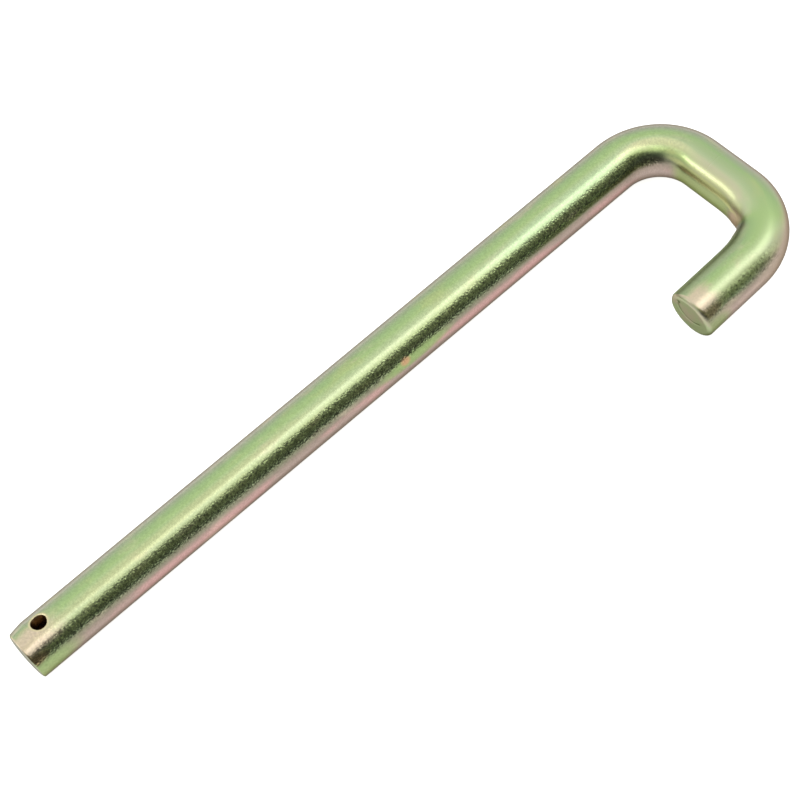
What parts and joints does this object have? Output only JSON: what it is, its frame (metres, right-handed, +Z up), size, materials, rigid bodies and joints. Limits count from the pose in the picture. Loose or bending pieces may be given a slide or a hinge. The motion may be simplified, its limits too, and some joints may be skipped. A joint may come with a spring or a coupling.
{
  "type": "deck roller pin",
  "caption": "Round steel hinge or roller pin with a square hook bent at one end to stop it and a cross hole near the other for a split cotter.",
  "frame": {"origin": "centre of the cross hole, on the shank's axis", "axes": "+X along the shank from the free end to the hook, hook turned towards -Y, +Z up from the face that the pin lies on"},
  "size_m": [0.2022, 0.0562, 0.0128],
  "materials": {
    "plating": "zinc plate with a yellow chromate film that turns green and pink, satin with a fine grain"
  },
  "bodies": {
    "root": {"hook_pin": "plating"}
  },
  "joints": []
}
